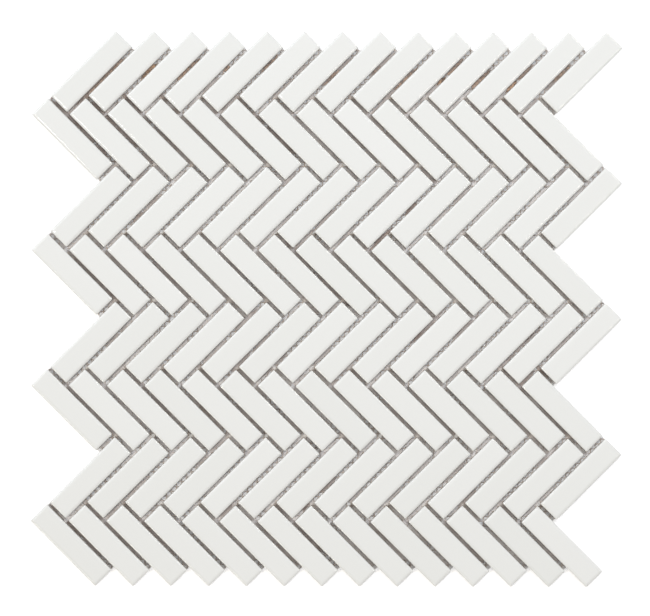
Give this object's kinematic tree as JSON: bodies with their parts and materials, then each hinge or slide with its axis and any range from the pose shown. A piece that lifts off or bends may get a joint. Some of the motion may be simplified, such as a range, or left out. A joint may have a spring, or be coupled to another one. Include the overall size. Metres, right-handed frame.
{
  "type": "herringbone mosaic tile sheet",
  "caption": "Flat sheet of long narrow glazed tiles in a herringbone, with open joints and toothed interlocking edges, bonded to a fibre mesh for setting on a wall.",
  "frame": {"origin": "middle of the sheet's bounding box, on its underside", "axes": "+Z out of the glazed faces, +X along the rows of tiles, +Y towards the row that hangs uppermost"},
  "size_m": [0.3074, 0.289, 0.0054],
  "materials": {
    "glaze": "gloss",
    "mesh": "matte"
  },
  "bodies": {
    "root": {"backing_mesh": "mesh", "tile_row_1": "glaze", "tile_row_2": "glaze", "tile_row_3": "glaze", "tile_row_4": "glaze", "tile_row_5": "glaze", "tile_row_6": "glaze", "tile_row_7": "glaze", "tile_row_8": "glaze"}
  },
  "joints": []
}
